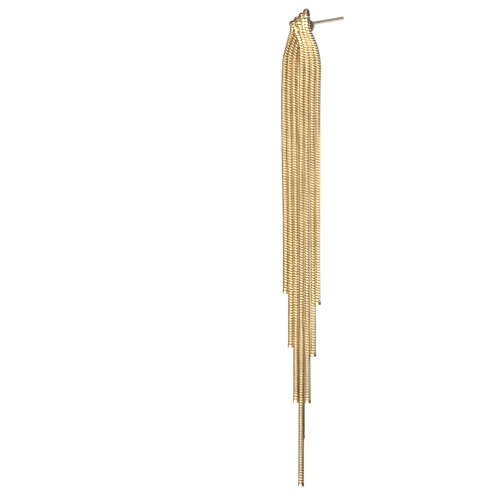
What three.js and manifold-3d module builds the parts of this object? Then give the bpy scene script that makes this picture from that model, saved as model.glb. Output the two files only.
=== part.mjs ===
// Tassel earring in gold tone: four round snake chains, folded in a slanting row and held by a bar
// behind their folds, which a neck joins to the pad of the ear post.
// Units are millimetres. The origin is on the post's axis at the back face of the pad, +Z is up,
// the front of the earring faces -Y and the post points to +Y.
import * as THREE from "three";
import { mergeVertices } from "three/addons/utils/BufferGeometryUtils.js";
import Module from "manifold-3d";

const wasm = await Module();
wasm.setup();

// Chain sizes
const chainDiameter = 1.3;
const chainSides = 8;
const tailStep = 3.0; // ring spacing along the hanging tails
const knotStep = 1.45; // ring spacing where the legs cross and spread
const foldStep = 0.42; // ring spacing round the bar
const knotHeight = 12.0; // the legs cross and spread within this height below the fold
const foldReach = 1.2; // the fine rings run this far down each leg from the fold

// Ear post sizes
const postDiameter = 0.8;
const postLength = 10.0; // from the back face of the pad to the tip
const tipRounding = 0.15;
const grooveFromTip = 1.6;
const grooveWidth = 0.3;
const grooveDepth = 0.05;
const roundSides = 24;
const padDiameter = 2.7;
const padThickness = 0.45;
const padDrop = 0.5; // the pad's centre lies this far below the post

// The folds climb to the right in a slanting row
const foldRow = [0.93, 0.59, 1.01]; // the way the row climbs
const foldBend = 1.04; // from the middle of a fold to the chain's axis, square to the row

// The bar lies behind the tops of the folds, and the neck joins its high end to the pad
const barDiameter = 0.7;
const barGap = 0.17; // between the bar and the chains
const barTilt = 68; // degrees from upright, backwards: where the bar touches a fold
const barPastLowFold = 0.1;
const barPastHighFold = 0.15;
const neckDiameter = 0.5;
const neckSides = 12;
const neckStep = 0.4;
const barEndRings = 4;
const neckRoute = [
  [-0.42, -0.52, 2.0],
  [-0.3, -0.3, 1.1],
  [-0.15, -0.24, 0.4],
];

// Each chain's chosen points: one tail from its end up to the fold, and the other from the fold down.
// A fold faces so many degrees from +X towards -Y, and its lean goes from square to the row (0) to upright.
const chainRoutes = [
  {
    name: "snake_chain_1",
    fold: { middle: [-1.6, -3.68, -0.7], turn: 21, lean: 0.6 },
    rising: [
      [-5.03, -3.48, -65.4], [-5.03, -3.48, -56.4], [-4.98, -3.62, -44.65], [-4.82, -4.1, -29.4],
      [-4.68, -4.32, -16.45], [-4.48, -4.22, -10.1], [-4.46, -4.01, -8.2], [-4.4, -3.52, -6.55],
      [-4.35, -3.18, -5.6], [-4.3, -2.95, -4.7], [-4.13, -2.87, -3.85], [-3.65, -2.81, -2.8],
      [-3.13, -3.0, -1.6],
    ],
    falling: [
      [-1.04, -3.53, -1.48], [-0.7, -3.24, -2.5], [-0.31, -3.04, -3.65], [-0.02, -2.96, -4.8],
      [0.18, -2.98, -6.0], [0.36, -3.08, -7.5], [0.45, -3.19, -9.4], [0.45, -3.31, -16.45],
      [0.38, -3.27, -29.4], [0.21, -3.1, -44.65], [0.03, -2.86, -70.5], [-0.09, -2.86, -111.4],
    ],
  },
  {
    name: "snake_chain_2",
    fold: { middle: [-0.67, -3.09, 0.31], turn: 28, lean: 0.6 },
    rising: [
      [-3.76, -2.94, -78.3], [-3.76, -2.94, -58.75], [-3.71, -3.1, -44.65], [-3.57, -3.52, -29.4],
      [-3.5, -3.78, -16.45], [-3.25, -3.82, -9.95], [-3.14, -3.76, -8.0], [-3.06, -3.48, -6.35],
      [-3.02, -3.18, -5.4], [-2.93, -2.86, -4.45], [-2.72, -2.61, -3.65], [-2.3, -2.33, -2.65],
      [-1.88, -2.2, -1.15],
    ],
    falling: [
      [0.35, -3.38, -0.26], [0.54, -3.33, -1.55], [0.86, -3.09, -2.85], [1.15, -2.83, -4.2],
      [1.35, -2.65, -5.55], [1.52, -2.54, -7.25], [1.67, -2.48, -9.3], [1.69, -2.73, -16.45],
      [1.69, -2.69, -29.4], [1.57, -2.54, -44.65], [1.5, -2.35, -65.8], [1.66, -2.25, -90.95],
    ],
  },
  {
    name: "snake_chain_3",
    fold: { middle: [0.26, -2.5, 1.32], turn: 35, lean: 0.6 },
    rising: [
      [-2.51, -2.37, -91.5], [-2.51, -2.37, -65.8], [-2.47, -2.49, -44.65], [-2.33, -2.89, -29.4],
      [-2.26, -3.22, -16.45], [-2.15, -3.21, -9.85], [-1.98, -3.23, -7.85], [-1.86, -3.03, -6.2],
      [-1.8, -2.83, -5.25], [-1.6, -2.5, -4.3], [-1.3, -2.16, -3.45], [-0.97, -1.82, -2.5],
      [-0.61, -1.59, -0.65],
    ],
    falling: [
      [1.33, -3.34, 0.66], [1.75, -3.43, -0.65], [2.03, -3.15, -2.1], [2.33, -2.72, -3.55],
      [2.53, -2.31, -5.1], [2.69, -2.0, -7.0], [2.86, -1.8, -9.15], [2.89, -2.05, -16.45],
      [2.92, -1.98, -29.4], [2.87, -1.87, -44.65], [2.92, -1.73, -58.75], [2.92, -1.68, -79.5],
    ],
  },
  {
    name: "snake_chain_4",
    fold: { middle: [1.15, -2.16, 2.22], turn: 42, lean: 2.5 },
    rising: [
      [-0.93, -1.88, -100.1], [-0.95, -1.94, -70.5], [-0.94, -2.14, -44.65], [-0.94, -2.49, -29.4],
      [-0.92, -2.87, -16.45], [-0.93, -2.68, -9.7], [-0.83, -2.5, -7.8], [-1.07, -1.86, -6.25],
      [-1.18, -1.52, -5.35], [-1.1, -1.2, -4.4], [-0.56, -1.02, -3.65], [0.16, -1.09, -2.65],
      [0.72, -1.73, -1.0], [0.79, -1.82, 0.65],
    ],
    falling: [
      [2.38, -3.24, 1.64], [2.87, -3.52, 0.27], [3.2, -3.21, -1.3], [3.5, -2.6, -2.9],
      [3.74, -1.96, -4.65], [3.86, -1.45, -6.75], [4.0, -1.17, -9.05], [4.14, -1.36, -16.45],
      [4.15, -1.33, -29.4], [4.15, -1.33, -56.4], [4.15, -1.33, -66.8],
    ],
  },
];

const chainRadius = chainDiameter / 2;
const radians = THREE.MathUtils.degToRad;

const gold = new THREE.MeshStandardMaterial({ color: 0xd9b676, metalness: 1, roughness: 0.25 });
const paleMetal = new THREE.MeshStandardMaterial({ color: 0xb9ad9d, metalness: 1, roughness: 0.3 });

const vector = (point) => new THREE.Vector3(...point);

// The way the front of a fold faces
function foldFacing(fold) {
  return new THREE.Vector3(Math.cos(radians(fold.turn)), -Math.sin(radians(fold.turn)), 0);
}

// How far a fold reaches in the given direction, so that its bend square to the row stays the same
function foldReachTo(direction) {
  const slant = vector(foldRow).normalize().dot(direction);
  return foldBend / Math.sqrt(1 - slant * slant);
}

// Half an ellipse from the rising leg over to the falling one
function foldArc(fold) {
  const square = new THREE.Vector3(0, 0, 1).projectOnPlane(vector(foldRow).normalize()).normalize();
  const upward = square.add(new THREE.Vector3(0, 0, fold.lean)).normalize();
  const outward = foldFacing(fold);
  const arc = [];
  for (let angle = -90; angle <= 90; angle += 30) {
    const point = vector(fold.middle);
    point.addScaledVector(outward, foldReachTo(outward) * Math.sin(radians(angle)));
    point.addScaledVector(upward, foldReachTo(upward) * Math.cos(radians(angle)));
    arc.push(point);
  }
  return arc;
}

// The bar's axis behind a fold
function barPoint(fold) {
  const away = foldBend + chainRadius + barGap + barDiameter / 2;
  const point = vector(fold.middle).addScaledVector(foldFacing(fold), -away * Math.sin(radians(barTilt)));
  return point.add(new THREE.Vector3(0, 0, away * Math.cos(radians(barTilt))));
}

// A smooth path whose rings stand at chosen distances along it instead of evenly
class RingPath extends THREE.Curve {
  constructor(points, stepAt) {
    super();
    this.line = new THREE.CatmullRomCurve3(points, false, "centripetal");
    this.line.arcLengthDivisions = 40 * points.length;
    const length = this.line.getLength();
    this.rings = [0];
    for (let at = 0; at < length; ) {
      at += stepAt(this.line.getPointAt(at / length));
      this.rings.push(at);
    }
    const stretch = length / this.rings.at(-1);
    this.rings = this.rings.map((at) => (at * stretch) / length);
  }
  get steps() {
    return this.rings.length - 1;
  }
  getPoint(t) {
    const place = THREE.MathUtils.clamp(t, 0, 1) * this.steps;
    const ring = Math.min(Math.floor(place), this.steps - 1);
    return this.line.getPointAt(THREE.MathUtils.lerp(this.rings[ring], this.rings[ring + 1], place - ring));
  }
  getUtoTmapping(u) {
    return u;
  }
}

function roundShape(radius, sides) {
  const shape = new THREE.Shape();
  for (let side = 0; side < sides; side++) {
    const angle = (2 * Math.PI * side) / sides;
    const [x, y] = [radius * Math.cos(angle), radius * Math.sin(angle)];
    side ? shape.lineTo(x, y) : shape.moveTo(x, y);
  }
  shape.closePath();
  return shape;
}

function tube(path, radius, sides) {
  return new THREE.ExtrudeGeometry(roundShape(radius, sides), { steps: path.steps, extrudePath: path });
}

function makeChain(route) {
  const arc = foldArc(route.fold);
  const points = [...route.rising.map(vector), ...arc, ...route.falling.map(vector)];
  const top = Math.max(...arc.map((point) => point.z));
  const stepAt = (point) => {
    const below = top - point.z;
    if (below < foldReach) return foldStep;
    return below < knotHeight ? knotStep : tailStep;
  };
  const chain = new THREE.Mesh(tube(new RingPath(points, stepAt), chainRadius, chainSides), gold);
  chain.name = route.name;
  return chain;
}

// Closed geometry as a solid, and back
function solidOf(geometry) {
  const bare = geometry.clone();
  bare.deleteAttribute("normal");
  bare.deleteAttribute("uv");
  const merged = mergeVertices(bare, 1e-4);
  return new wasm.Manifold(
    new wasm.Mesh({
      numProp: 3,
      vertProperties: merged.attributes.position.array,
      triVerts: new Uint32Array(merged.index.array),
    }),
  );
}

function geometryOf(solid) {
  const mesh = solid.getMesh();
  const geometry = new THREE.BufferGeometry();
  geometry.setAttribute("position", new THREE.BufferAttribute(mesh.vertProperties, 3));
  geometry.setIndex(new THREE.BufferAttribute(mesh.triVerts, 1));
  geometry.computeVertexNormals();
  return geometry;
}

// The post is turned: its profile runs from inside the pad to the rounded tip, with one shallow groove
function postGeometry() {
  const radius = postDiameter / 2;
  const grooveEnd = postLength - grooveFromTip;
  const grooveStart = grooveEnd - grooveWidth;
  const profile = [
    [0, -padThickness / 2],
    [radius, -padThickness / 2],
    [radius, grooveStart],
    [radius - grooveDepth, grooveStart + grooveDepth],
    [radius - grooveDepth, grooveEnd - grooveDepth],
    [radius, grooveEnd],
    [radius, postLength - tipRounding],
    [radius - tipRounding, postLength],
    [0, postLength],
  ];
  return new THREE.LatheGeometry(profile.map(([r, y]) => new THREE.Vector2(r, y)), roundSides);
}

function padGeometry() {
  const radius = padDiameter / 2;
  const pad = new THREE.CylinderGeometry(radius, radius, padThickness, roundSides);
  pad.translate(0, -padThickness / 2, -padDrop);
  return pad;
}

function barEnds() {
  const [low, high] = [barPoint(chainRoutes[0].fold), barPoint(chainRoutes.at(-1).fold)];
  const along = high.clone().sub(low).normalize();
  return [low.addScaledVector(along, -barPastLowFold), high.addScaledVector(along, barPastHighFold)];
}

// A straight bar with round ends
function barGeometry() {
  const [low, high] = barEnds();
  const span = high.clone().sub(low);
  const bar = new THREE.CapsuleGeometry(barDiameter / 2, span.length(), barEndRings, roundSides);
  bar.applyQuaternion(new THREE.Quaternion().setFromUnitVectors(new THREE.Vector3(0, 1, 0), span.clone().normalize()));
  const middle = low.add(high).multiplyScalar(0.5);
  return bar.translate(middle.x, middle.y, middle.z);
}

// The neck starts inside the bar's high end and ends inside the pad
function neckGeometry() {
  const line = new THREE.CatmullRomCurve3([barEnds()[1], ...neckRoute.map(vector)], false, "centripetal");
  const steps = Math.ceil(line.getLength() / neckStep);
  const shape = roundShape(neckDiameter / 2, neckSides);
  return new THREE.ExtrudeGeometry(shape, { steps, extrudePath: line });
}

function makeEarPost() {
  const pieces = [postGeometry(), padGeometry(), barGeometry(), neckGeometry()].map(solidOf);
  const post = new THREE.Mesh(geometryOf(pieces.reduce((sum, piece) => sum.add(piece))), paleMetal);
  post.name = "ear_post";
  return post;
}

const earring = new THREE.Group();
earring.add(makeEarPost());
earring.add(...chainRoutes.map(makeChain));

export default earring;
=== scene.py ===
# Tassel earring in gold tone: four round snake chains folded in a slanting row, on an ear post.
# The frame is in metres, and the chain routes and rib sizes are in millimetres.
# The origin is on the post's axis at the back face of its pad, +Z is up, the front faces -Y.
import math

import bpy
import numpy as np
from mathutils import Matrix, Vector


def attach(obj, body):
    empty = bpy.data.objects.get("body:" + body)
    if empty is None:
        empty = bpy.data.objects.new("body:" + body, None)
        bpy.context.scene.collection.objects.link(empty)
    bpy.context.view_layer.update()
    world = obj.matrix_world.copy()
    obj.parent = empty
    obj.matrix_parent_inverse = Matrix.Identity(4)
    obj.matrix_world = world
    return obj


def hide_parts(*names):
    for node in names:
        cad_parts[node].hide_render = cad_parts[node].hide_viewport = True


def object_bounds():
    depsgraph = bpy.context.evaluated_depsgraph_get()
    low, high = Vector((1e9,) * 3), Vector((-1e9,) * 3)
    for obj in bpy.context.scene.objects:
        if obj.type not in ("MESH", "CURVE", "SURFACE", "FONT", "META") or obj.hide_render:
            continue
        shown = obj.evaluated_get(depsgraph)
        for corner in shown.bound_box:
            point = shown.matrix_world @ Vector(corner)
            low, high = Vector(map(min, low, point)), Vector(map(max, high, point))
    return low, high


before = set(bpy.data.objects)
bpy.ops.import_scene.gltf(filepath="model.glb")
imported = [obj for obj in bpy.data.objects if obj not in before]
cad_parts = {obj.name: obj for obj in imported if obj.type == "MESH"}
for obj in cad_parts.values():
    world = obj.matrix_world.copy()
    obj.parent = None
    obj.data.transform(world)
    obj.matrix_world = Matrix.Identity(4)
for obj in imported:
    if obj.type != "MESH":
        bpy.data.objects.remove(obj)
cad_low, cad_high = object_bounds()

MM = 0.001

# Camera: a long lens at the photograph's angle, aimed so that the origin falls on the given pixel
CAMERA_AZIMUTH = 49.8
CAMERA_ELEVATION = 12.7
FRAME_SIZE = 117.5 * MM
FRAME_PIXELS = 500
ORIGIN_COLUMN, ORIGIN_ROW = 310.93, 23.80
LENS, SENSOR = 1000.0, 36.0


def camera_axes():
    azimuth, elevation = math.radians(CAMERA_AZIMUTH), math.radians(CAMERA_ELEVATION)
    sine, cosine = math.sin(azimuth), math.cos(azimuth)
    right = Vector((cosine, sine, 0))
    toward = Vector((sine * math.cos(elevation), -cosine * math.cos(elevation), math.sin(elevation)))
    return right, toward.cross(right), toward


def make_camera():
    right, up, toward = camera_axes()
    pixel = FRAME_SIZE / FRAME_PIXELS
    centre = FRAME_PIXELS / 2
    aim = right * (centre - ORIGIN_COLUMN) * pixel + up * (ORIGIN_ROW - centre) * pixel
    data = bpy.data.cameras.new("camera")
    data.lens, data.sensor_width = LENS, SENSOR
    distance = FRAME_SIZE * LENS / SENSOR
    data.clip_start, data.clip_end = 0.1, 50.0
    camera = bpy.data.objects.new("camera", data)
    camera.location = aim + toward * distance
    camera.rotation_mode = "QUATERNION"
    camera.rotation_quaternion = (-toward).to_track_quat("-Z", "Y")
    bpy.context.collection.objects.link(camera)
    bpy.context.scene.camera = camera


# Chain routes, as in the solids: one tail from its end up to the fold, the other from the fold down
CHAIN_ROUTES = [
    {
        "name": "snake_chain_1",
        "fold": {"middle": (-1.6, -3.68, -0.7), "turn": 21, "lean": 0.6},
        "rising": [
            (-5.03, -3.48, -65.4), (-5.03, -3.48, -56.4), (-4.98, -3.62, -44.65), (-4.82, -4.1, -29.4),
            (-4.68, -4.32, -16.45), (-4.48, -4.22, -10.1), (-4.46, -4.01, -8.2), (-4.4, -3.52, -6.55),
            (-4.35, -3.18, -5.6), (-4.3, -2.95, -4.7), (-4.13, -2.87, -3.85), (-3.65, -2.81, -2.8),
            (-3.13, -3.0, -1.6),
        ],
        "falling": [
            (-1.04, -3.53, -1.48), (-0.7, -3.24, -2.5), (-0.31, -3.04, -3.65), (-0.02, -2.96, -4.8),
            (0.18, -2.98, -6.0), (0.36, -3.08, -7.5), (0.45, -3.19, -9.4), (0.45, -3.31, -16.45),
            (0.38, -3.27, -29.4), (0.21, -3.1, -44.65), (0.03, -2.86, -70.5), (-0.09, -2.86, -111.4),
        ],
    },
    {
        "name": "snake_chain_2",
        "fold": {"middle": (-0.67, -3.09, 0.31), "turn": 28, "lean": 0.6},
        "rising": [
            (-3.76, -2.94, -78.3), (-3.76, -2.94, -58.75), (-3.71, -3.1, -44.65), (-3.57, -3.52, -29.4),
            (-3.5, -3.78, -16.45), (-3.25, -3.82, -9.95), (-3.14, -3.76, -8.0), (-3.06, -3.48, -6.35),
            (-3.02, -3.18, -5.4), (-2.93, -2.86, -4.45), (-2.72, -2.61, -3.65), (-2.3, -2.33, -2.65),
            (-1.88, -2.2, -1.15),
        ],
        "falling": [
            (0.35, -3.38, -0.26), (0.54, -3.33, -1.55), (0.86, -3.09, -2.85), (1.15, -2.83, -4.2),
            (1.35, -2.65, -5.55), (1.52, -2.54, -7.25), (1.67, -2.48, -9.3), (1.69, -2.73, -16.45),
            (1.69, -2.69, -29.4), (1.57, -2.54, -44.65), (1.5, -2.35, -65.8), (1.66, -2.25, -90.95),
        ],
    },
    {
        "name": "snake_chain_3",
        "fold": {"middle": (0.26, -2.5, 1.32), "turn": 35, "lean": 0.6},
        "rising": [
            (-2.51, -2.37, -91.5), (-2.51, -2.37, -65.8), (-2.47, -2.49, -44.65), (-2.33, -2.89, -29.4),
            (-2.26, -3.22, -16.45), (-2.15, -3.21, -9.85), (-1.98, -3.23, -7.85), (-1.86, -3.03, -6.2),
            (-1.8, -2.83, -5.25), (-1.6, -2.5, -4.3), (-1.3, -2.16, -3.45), (-0.97, -1.82, -2.5),
            (-0.61, -1.59, -0.65),
        ],
        "falling": [
            (1.33, -3.34, 0.66), (1.75, -3.43, -0.65), (2.03, -3.15, -2.1), (2.33, -2.72, -3.55),
            (2.53, -2.31, -5.1), (2.69, -2.0, -7.0), (2.86, -1.8, -9.15), (2.89, -2.05, -16.45),
            (2.92, -1.98, -29.4), (2.87, -1.87, -44.65), (2.92, -1.73, -58.75), (2.92, -1.68, -79.5),
        ],
    },
    {
        "name": "snake_chain_4",
        "fold": {"middle": (1.15, -2.16, 2.22), "turn": 42, "lean": 2.5},
        "rising": [
            (-0.93, -1.88, -100.1), (-0.95, -1.94, -70.5), (-0.94, -2.14, -44.65), (-0.94, -2.49, -29.4),
            (-0.92, -2.87, -16.45), (-0.93, -2.68, -9.7), (-0.83, -2.5, -7.8), (-1.07, -1.86, -6.25),
            (-1.18, -1.52, -5.35), (-1.1, -1.2, -4.4), (-0.56, -1.02, -3.65), (0.16, -1.09, -2.65),
            (0.72, -1.73, -1.0), (0.79, -1.82, 0.65),
        ],
        "falling": [
            (2.38, -3.24, 1.64), (2.87, -3.52, 0.27), (3.2, -3.21, -1.3), (3.5, -2.6, -2.9),
            (3.74, -1.96, -4.65), (3.86, -1.45, -6.75), (4.0, -1.17, -9.05), (4.14, -1.36, -16.45),
            (4.15, -1.33, -29.4), (4.15, -1.33, -56.4), (4.15, -1.33, -66.8),
        ],
    },
]

# The way the row of folds climbs, and from a fold's middle to the chain's axis, in millimetres
FOLD_ROW = np.array((0.93, 0.59, 1.01))
FOLD_BEND = 1.04
FOLD_STEP = 30


def unit(vector):
    return vector / np.linalg.norm(vector)


def fold_arc(fold):
    along = unit(FOLD_ROW)
    square = unit(np.array((0, 0, 1)) - along * along[2])
    upward = unit(square + np.array((0, 0, fold["lean"])))
    turn = math.radians(fold["turn"])
    outward = np.array((math.cos(turn), -math.sin(turn), 0))
    reach = [FOLD_BEND / math.sqrt(1 - along.dot(way) ** 2) for way in (outward, upward)]
    angles = [math.radians(angle) for angle in range(-90, 91, FOLD_STEP)]
    middle = np.array(fold["middle"])
    wide, high = outward * reach[0], upward * reach[1]
    return [middle + wide * math.sin(angle) + high * math.cos(angle) for angle in angles]


# Centripetal Catmull-Rom curve through the points, sampled finely
CURVE_SAMPLES = 60


def smooth_line(points):
    points = np.array(points, float)
    points = np.vstack([2 * points[0] - points[1], points, 2 * points[-1] - points[-2]])
    line = []
    share = np.linspace(0, 1, CURVE_SAMPLES, endpoint=False)[:, None]
    for a, b, c, d in zip(points, points[1:], points[2:], points[3:]):
        before, between, after = (math.sqrt(np.linalg.norm(q - p)) for p, q in ((a, b), (b, c), (c, d)))
        start = ((b - a) / before - (c - a) / (before + between) + (c - b) / between) * between
        end = ((c - b) / between - (d - b) / (between + after) + (d - c) / after) * between
        square = 3 * (c - b) - 2 * start - end
        cube = 2 * (b - c) + start + end
        line.append(b + start * share + square * share**2 + cube * share**3)
    line.append(points[-2:-1])
    return np.vstack(line)


# Rib sizes, in millimetres. A rib's edge zigzags round the chain between four corners.
RIB_RADIUS = 0.725
RIB_PITCH = 0.63
RIB_DEPTH = 0.16
CORNER_DEPTH = 0.08
CORNER_SHARPNESS = 6.0
ZIGZAG = 0.24
# Painted shade: the share of the groove's darker colour that is kept for the corner pits, which are painted
# darker than the rest of the groove
CORNER_SHADE_SHARE = 0.3
SIDES = 32
# How the ribs change along the chain: millimetres past the fold's top, and the share of their full size.
# The rising tail lies below 0. The ribs are flatter by the folds and deeper behind them, and the painted
# groove shade follows their depth, so the strands behind the front ones are painted darker where their shade
# falls.
GROOVE_SHARES = [(-20, 1.0), (-14, 1.25), (-4, 1.5), (-2, 1.0), (0, 0.75), (3, 0.65), (8, 0.75), (14, 1.0)]
ZIGZAG_SHARES = [(80, 1.0), (92, 0.3)]
# Across one rib from groove to groove: the share of the pitch, and the share of the depth
RIB_PROFILE = [
    (0.0, 1.0), (0.13, 0.8), (0.25, 0.45), (0.37, 0.12),
    (0.5, 0.0), (0.63, 0.12), (0.75, 0.45), (0.87, 0.8),
]
ZIGZAG_FADE = 1.26  # the length by a cap along which the zigzag grows from nothing
CAP_LENGTH = 1.0
CAP_ROUNDING = 0.12
CAP_GROOVE = 0.1
CAP_GROOVE_WIDTH = 0.12
CAP_GROOVE_BEVEL = 0.02
CAP_END_SHARE = 0.55  # the innermost ring of the flat end, as a share of its radius
SLANT_TURN = 45.0  # turns the ribs' corners away from the camera, so that it sees them slant
TURN_SPAN = 24.0  # the length round the fold along which one tail's turn passes into the other's
TWIST_WAVES = [(31.0, 14.0), (17.0, 8.0)]  # how the ribs wander round the chain: wavelength, degrees


def frames_along(line):
    """Tangents, and normals that don't twist, starting at the camera's side."""
    tangents = np.gradient(line, axis=0)
    tangents /= np.linalg.norm(tangents, axis=1)[:, None]
    facing = np.array(camera_axes()[2])
    normal = unit(facing - tangents[0] * facing.dot(tangents[0]))
    normals = [normal]
    for tangent in tangents[1:]:
        normal = unit(normal - tangent * normal.dot(tangent))
        normals.append(normal)
    return tangents, np.array(normals)


def facing_angle(tangent, normal):
    """The angle round the chain to the camera's side or the side opposite, whichever is nearer."""
    facing = np.array(camera_axes()[2])
    return math.remainder(math.atan2(facing.dot(np.cross(tangent, normal)), facing.dot(normal)), math.pi)


def rib_rows(length):
    """Distance along the chain and share of the groove's depth, for every row of the ribs."""
    ribs = round((length - 2 * CAP_LENGTH) / RIB_PITCH)
    pitch = (length - 2 * CAP_LENGTH) / ribs
    rows = [(CAP_LENGTH + (rib + at) * pitch, deep) for rib in range(ribs) for at, deep in RIB_PROFILE]
    rows.append((CAP_LENGTH + ribs * pitch, 1.0))
    return np.array(rows).T[..., None]


def cap_rows():
    """A smooth cap from its flat end to the groove where the ribs begin: distance and radius."""
    rounding = [math.radians(angle) for angle in (0, 30, 60, 90)]
    inner = RIB_RADIUS - CAP_ROUNDING
    groove_at = CAP_LENGTH - CAP_GROOVE_WIDTH
    bevel_at = groove_at - CAP_GROOVE_BEVEL
    rows = [(0.0, inner * CAP_END_SHARE)]
    rows += [(CAP_ROUNDING * (1 - math.cos(a)), inner + CAP_ROUNDING * math.sin(a)) for a in rounding]
    rows += [(CAP_LENGTH / 2, RIB_RADIUS), (bevel_at - 3 * CAP_GROOVE_BEVEL, RIB_RADIUS)]
    rows += [(bevel_at, RIB_RADIUS - CAP_GROOVE_BEVEL), (groove_at, RIB_RADIUS - CAP_GROOVE)]
    return rows


def lookup(at, table):
    """The value at a place in a table of places and values, in between by straight lines."""
    places, values = zip(*table)
    return np.interp(at, places, values)


class Sweep:
    """A chain's middle line, and the points round it at a distance along it, a radius and an angle."""

    def __init__(self, route):
        self.line = smooth_line([*route["rising"], *fold_arc(route["fold"]), *route["falling"]])
        steps = np.linalg.norm(np.diff(self.line, axis=0), axis=1)
        self.reached = np.concatenate([[0], np.cumsum(steps)])
        self.length = self.reached[-1]
        self.tangents, self.normals = frames_along(self.line)
        fold_starts = len(route["rising"])
        self.fold_at = self.reached[fold_starts * CURVE_SAMPLES]
        self.top_at = self.reached[(fold_starts + 90 // FOLD_STEP) * CURVE_SAMPLES]

    def along(self, distance, vectors):
        return np.stack([np.interp(distance, self.reached, vectors[:, k]) for k in range(3)], -1)

    def ring(self, distance, radius, angle):
        tangent = self.along(distance, self.tangents)
        tangent /= np.linalg.norm(tangent, axis=-1)[..., None]
        normal = self.along(distance, self.normals)
        normal -= tangent * (normal * tangent).sum(-1)[..., None]
        normal /= np.linalg.norm(normal, axis=-1)[..., None]
        side = np.cross(tangent, normal)
        outward = normal * np.cos(angle)[..., None] + side * np.sin(angle)[..., None]
        return self.along(distance, self.line) + radius[..., None] * outward

    def twist(self, distance, index):
        """How far the ribs' corners are turned round the chain at a distance along it."""
        passed = np.clip((distance - self.fold_at) / TURN_SPAN + 0.5, 0, 1)
        far_turn = facing_angle(self.tangents[-1], self.normals[-1])
        wander = sum(
            math.radians(turn) * np.sin(2 * np.pi * (distance - self.fold_at) / wave + index)
            for wave, turn in TWIST_WAVES
        )
        return math.radians(SLANT_TURN) + far_turn * passed**2 * (3 - 2 * passed) + wander


def build_chain(route, index, materials):
    sweep = Sweep(route)
    angles = np.linspace(0, 2 * np.pi, SIDES, endpoint=False)

    # The ribs: every row follows the zigzag, which fades out at the caps
    distance, deep = rib_rows(sweep.length)
    edge = np.minimum(distance - CAP_LENGTH, sweep.length - CAP_LENGTH - distance)
    fade = np.clip(edge / ZIGZAG_FADE, 0, 1)
    past_top = distance - sweep.top_at
    corner = np.arccos(np.cos(2 * angles)) / np.pi
    zigzag = ZIGZAG * (2 * corner - 1) * fade * lookup(past_top, ZIGZAG_SHARES)
    pit = np.abs(np.cos(2 * angles)) ** CORNER_SHARPNESS * fade
    deep = deep * lookup(past_top, GROOVE_SHARES)
    radius = RIB_RADIUS - deep * (RIB_DEPTH + CORNER_DEPTH * pit)
    ribs = sweep.ring(distance + zigzag, radius, angles + sweep.twist(distance, index))

    # The caps, turned with the ribs
    def cap(at, radius):
        nearest_rib = np.clip(at, CAP_LENGTH, sweep.length - CAP_LENGTH)
        turned = angles + sweep.twist(nearest_rib, index)
        return sweep.ring(np.full(SIDES, at), np.full(SIDES, radius), turned)

    first = [cap(at, radius) for at, radius in cap_rows()]
    last = [cap(sweep.length - at, radius) for at, radius in reversed(cap_rows())]
    flat = np.zeros((len(first), SIDES))
    # The share of painted groove shade at each point: it follows the groove's depth, is strongest in the
    # corner pits, and is nothing on the caps
    groove_shade = np.concatenate([flat, deep * (1 - CORNER_SHADE_SHARE + CORNER_SHADE_SHARE * pit), flat])
    grid = np.concatenate([first, ribs, last])
    return mesh_from_rings(route["name"], grid, groove_shade, len(first), materials)


def mesh_from_rings(name, grid, groove_shade, cap_count, materials):
    rows, sides = grid.shape[:2]
    points = np.concatenate([grid.reshape(-1, 3), [grid[0].mean(0)], [grid[-1].mean(0)]]) * MM
    last_row = (rows - 1) * sides
    low, high = rows * sides, rows * sides + 1
    faces = []
    slots = []
    for row in range(rows - 1):
        cap = row < cap_count or row >= rows - 1 - cap_count
        here, above = row * sides, (row + 1) * sides
        for side in range(sides):
            after = (side + 1) % sides
            faces.append((here + side, here + after, above + after, above + side))
            slots.append(1 if cap else 0)
    for side in range(sides):
        after = (side + 1) % sides
        faces.append((low, after, side))
        faces.append((high, last_row + side, last_row + after))
        slots += [1, 1]

    mesh = bpy.data.meshes.new(name + "_ribs")
    mesh.from_pydata(points.tolist(), [], faces)
    for material in materials:
        mesh.materials.append(material)
    mesh.polygons.foreach_set("material_index", slots)
    mesh.polygons.foreach_set("use_smooth", [True] * len(faces))
    # How deep each point lies between the ribs, for the painted shade that darkens the grooves
    depth = mesh.attributes.new("groove_shade", "FLOAT", "POINT")
    depth.data.foreach_set("value", [*groove_shade.ravel(), 0.0, 0.0])
    mesh.update()
    chain = bpy.data.objects.new(name + "_ribs", mesh)
    bpy.context.collection.objects.link(chain)
    return chain


# Materials: colours, and the least and greatest roughness
GOLD = (1.0, 0.91, 0.665)
# The groove colour is painted shade: a darker brown that stands for the shade deep between the ribs.
GROOVE_SHADE_GOLD = (0.53, 0.345, 0.155)
GROOVE_SHADE_REACH = (0.15, 0.75)  # the shares of the depth between which the gold turns into the painted groove shade
GOLD_ROUGHNESS = (0.1, 0.2)
CAP_GOLD = (0.86, 0.69, 0.46)
CAP_ROUGHNESS = (0.22, 0.34)
POST_METAL = (0.92, 0.88, 0.8)
POST_METALLIC = 0.5
POST_ROUGHNESS = (0.5, 0.62)
POST_STRETCH = (1, 0.1, 1)  # draws the post's spots out along it
# Noise: spots a millimetre, the part of its range that is used, and the range of the gold's tone
TONE_SPOTS, GLOSS_SPOTS, POST_SPOTS = 0.35, 4.0, 2.0
NOISE_DETAIL = 3.0
NOISE_RANGE = (0.3, 0.7)
TONE_RANGE = (0.92, 1.06)


def node_material(name):
    material = bpy.data.materials.new(name)
    material.use_nodes = True
    nodes, links = material.node_tree.nodes, material.node_tree.links
    return material, nodes, links, nodes["Principled BSDF"]


def spread(nodes, links, source, low, high, to_low=0.0, to_high=1.0):
    """Maps a value between two bounds to the range of the other two."""
    reach = nodes.new("ShaderNodeMapRange")
    reach.inputs["From Min"].default_value, reach.inputs["From Max"].default_value = low, high
    reach.inputs["To Min"].default_value, reach.inputs["To Max"].default_value = to_low, to_high
    links.new(source, reach.inputs["Value"])
    return reach.outputs["Result"]


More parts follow.
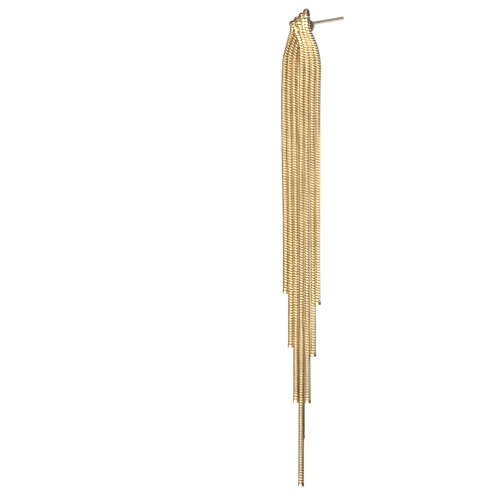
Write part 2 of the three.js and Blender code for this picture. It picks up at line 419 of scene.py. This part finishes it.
def noise_ramp(nodes, links, spots, reach, stretch=(1, 1, 1)):
    """A noise in object space between two values, with so many spots a millimetre."""
    place = nodes.new("ShaderNodeTexCoord")
    mapping = nodes.new("ShaderNodeMapping")
    mapping.inputs["Scale"].default_value = stretch
    noise = nodes.new("ShaderNodeTexNoise")
    noise.inputs["Scale"].default_value = spots / MM
    noise.inputs["Detail"].default_value = NOISE_DETAIL
    links.new(place.outputs["Object"], mapping.inputs["Vector"])
    links.new(mapping.outputs["Vector"], noise.inputs["Vector"])
    return spread(nodes, links, noise.outputs["Fac"], *NOISE_RANGE, *reach)


def chain_gold(name, crest, groove_shade, roughness):
    """Polished gold with painted shade in the grooves: it turns from the crest's colour to the darker groove
    colour with the depth between the ribs.
    """
    material, nodes, links, shader = node_material(name)
    shader.inputs["Metallic"].default_value = 1.0
    depth = nodes.new("ShaderNodeAttribute")
    depth.attribute_name = "groove_shade"
    painted_shade = spread(nodes, links, depth.outputs["Fac"], *GROOVE_SHADE_REACH)
    mix = nodes.new("ShaderNodeMix")
    mix.data_type = "RGBA"
    mix.inputs["A"].default_value = (*crest, 1)
    mix.inputs["B"].default_value = (*groove_shade, 1)
    links.new(painted_shade, mix.inputs["Factor"])
    tone = nodes.new("ShaderNodeHueSaturation")
    links.new(mix.outputs["Result"], tone.inputs["Color"])
    links.new(noise_ramp(nodes, links, TONE_SPOTS, TONE_RANGE), tone.inputs["Value"])
    links.new(tone.outputs["Color"], shader.inputs["Base Color"])
    links.new(noise_ramp(nodes, links, GLOSS_SPOTS, roughness), shader.inputs["Roughness"])
    return material


def post_metal():
    material, nodes, links, shader = node_material("post_metal")
    shader.inputs["Metallic"].default_value = POST_METALLIC
    shader.inputs["Base Color"].default_value = (*POST_METAL, 1)
    streaks = noise_ramp(nodes, links, POST_SPOTS, POST_ROUGHNESS, POST_STRETCH)
    links.new(streaks, shader.inputs["Roughness"])
    return material


# Studio: a white floor, a soft light, and cards and a ring of light that the metal mirrors
FLOOR_DROP = 14 * MM
FLOOR_SIZE = 8.0
FLOOR_GLOW = 1.05
WHITE = (1.0, 1.0, 1.0)


def plane(name, size):
    bpy.ops.mesh.primitive_plane_add(size=1)
    card = bpy.context.object
    card.name = name
    card.scale = (*size, 1)
    return card


def glowing(name, colour, strength):
    material = bpy.data.materials.new(name)
    material.use_nodes = True
    nodes, links = material.node_tree.nodes, material.node_tree.links
    nodes.clear()
    glow = nodes.new("ShaderNodeEmission")
    glow.inputs["Color"].default_value = (*colour, 1)
    glow.inputs["Strength"].default_value = strength
    output = nodes.new("ShaderNodeOutputMaterial")
    links.new(glow.outputs["Emission"], output.inputs["Surface"])
    return material


def aim_card(card, azimuth, elevation, distance, target):
    """Puts a card in that direction from the target, facing it. Azimuth 0 is the camera's side."""
    turn = math.radians(CAMERA_AZIMUTH + azimuth)
    rise = math.radians(elevation)
    away = Vector((math.sin(turn) * math.cos(rise), -math.cos(turn) * math.cos(rise), math.sin(rise)))
    card.location = target + away * distance
    card.rotation_mode = "QUATERNION"
    card.rotation_quaternion = away.to_track_quat("-Z", "Y")
    return card


# The surround that the metal mirrors: degrees right of the camera's side, and brightness
SURROUND = [
    (-180, 0.08), (-130, 0.08), (-100, 0.2), (-78, 0.6), (-60, 3.7),
    (-6, 3.7), (10, 1.6), (24, 0.3), (38, 0.08), (180, 0.08),
]
BRIGHT_TINT = (1.0, 0.985, 0.93)
DARK_TINT = (1.35, 0.85, 0.35)
# What lies below and above the ring: colour, and the heights on a unit sphere where it starts and is full
LAYERS = [
    ((1.2, 1.15, 1.02), -0.3, -0.65),
    ((0.2, 0.12, 0.06), -0.1, 0.15),
    ((1.5, 1.44, 1.3), 0.85, 0.97),
]
LAYERS_REACH = (-0.1, 0.3)  # the layers fade out behind the earring, where the ring goes on
# One card lights the tails' right-hand side and one the tops of the folds. They face a height on the Z axis.
CARDS = {
    "side_card": {
        "azimuth": 100, "elevation": 0, "distance": 26 * MM, "width": 50 * MM, "height": 55 * MM,
        "middle": -36 * MM, "strength": 1.4,
    },
    "top_card": {
        "azimuth": -45, "elevation": 55, "distance": 30 * MM, "width": 26 * MM, "height": 20 * MM,
        "middle": 1 * MM, "strength": 1.6,
    },
}
KEY = {"azimuth": -25, "elevation": 42, "distance": 1.1, "size": 0.45, "watts": 4.0}


def dot(nodes, links, source, way):
    product = nodes.new("ShaderNodeVectorMath")
    product.operation = "DOT_PRODUCT"
    product.inputs[1].default_value = way
    links.new(source, product.inputs[0])
    return product.outputs["Value"]


def make_surround():
    """A world that is white to the eye, and in which the metal mirrors the ring of light and its layers."""
    world = bpy.data.worlds.new("studio")
    world.use_nodes = True
    bpy.context.scene.world = world
    nodes, links = world.node_tree.nodes, world.node_tree.links
    right, _, toward = camera_axes()
    level = Vector((toward.x, toward.y, 0)).normalized()
    place = nodes.new("ShaderNodeTexCoord").outputs["Generated"]
    turn = nodes.new("ShaderNodeMath")
    turn.operation = "ARCTAN2"
    links.new(dot(nodes, links, place, right), turn.inputs[0])
    links.new(dot(nodes, links, place, level), turn.inputs[1])
    round_way = spread(nodes, links, turn.outputs["Value"], -math.pi, math.pi)
    ramp = nodes.new("ShaderNodeValToRGB")
    ramp.color_ramp.interpolation = "EASE"
    brightest = max(value for _, value in SURROUND)
    stops = ramp.color_ramp.elements
    for index, (azimuth, value) in enumerate(SURROUND):
        at = (azimuth + 180) / 360
        stop = stops[index] if index < 2 else stops.new(at)
        stop.position = at
        share = value / brightest
        tints = zip(DARK_TINT, BRIGHT_TINT)
        stop.color = (*[share * (dark + (bright - dark) * share) for dark, bright in tints], 1)
    links.new(round_way, ramp.inputs["Fac"])
    height = dot(nodes, links, place, (0, 0, 1))
    front = spread(nodes, links, dot(nodes, links, place, level), *LAYERS_REACH)
    glow = ramp.outputs["Color"]
    for colour, start, full in LAYERS:
        band = spread(nodes, links, height, start, full)
        share = nodes.new("ShaderNodeMath")
        share.operation = "MULTIPLY"
        links.new(band, share.inputs[0])
        links.new(front, share.inputs[1])
        mix = nodes.new("ShaderNodeMix")
        mix.data_type = "RGBA"
        links.new(glow, mix.inputs["A"])
        mix.inputs["B"].default_value = (*[value / brightest for value in colour], 1)
        links.new(share.outputs["Value"], mix.inputs["Factor"])
        glow = mix.outputs["Result"]
    ring = nodes["Background"]
    ring.inputs["Strength"].default_value = brightest
    links.new(glow, ring.inputs["Color"])
    white = nodes.new("ShaderNodeBackground")
    eye = nodes.new("ShaderNodeLightPath")
    choice = nodes.new("ShaderNodeMixShader")
    links.new(eye.outputs["Is Camera Ray"], choice.inputs["Fac"])
    links.new(ring.outputs["Background"], choice.inputs[1])
    links.new(white.outputs["Background"], choice.inputs[2])
    links.new(choice.outputs["Shader"], nodes["World Output"].inputs["Surface"])


def make_studio(target):
    floor = plane("floor", (FLOOR_SIZE, FLOOR_SIZE))
    floor.location = (0, 0, cad_low.z - FLOOR_DROP)
    floor.data.materials.append(glowing("floor_white", WHITE, FLOOR_GLOW))
    floor.visible_glossy = floor.visible_diffuse = False
    data = bpy.data.lights.new("key", "AREA")
    data.size, data.energy = KEY["size"], KEY["watts"]
    light = bpy.data.objects.new("key", data)
    bpy.context.collection.objects.link(light)
    aim_card(light, KEY["azimuth"], KEY["elevation"], KEY["distance"], target)
    for name, spec in CARDS.items():
        card = plane(name, (spec["width"], spec["height"]))
        card.data.materials.append(glowing(name + "_white", WHITE, spec["strength"]))
        middle = Vector((0, 0, spec["middle"]))
        aim_card(card, spec["azimuth"], spec["elevation"], spec["distance"], middle)
        card.visible_camera = False
    make_surround()
    bpy.context.scene.view_settings.view_transform = "Standard"


make_camera()
ribs = chain_gold("chain_gold", GOLD, GROOVE_SHADE_GOLD, GOLD_ROUGHNESS)
caps = chain_gold("cap_gold", CAP_GOLD, CAP_GOLD, CAP_ROUGHNESS)
for index, route in enumerate(CHAIN_ROUTES):
    chain = build_chain(route, index, [ribs, caps])
    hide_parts(route["name"])
    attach(chain, "root")
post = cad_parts["ear_post"]
metal = post_metal()
for slot in post.material_slots:
    slot.material = metal
make_studio((cad_low + cad_high) / 2)
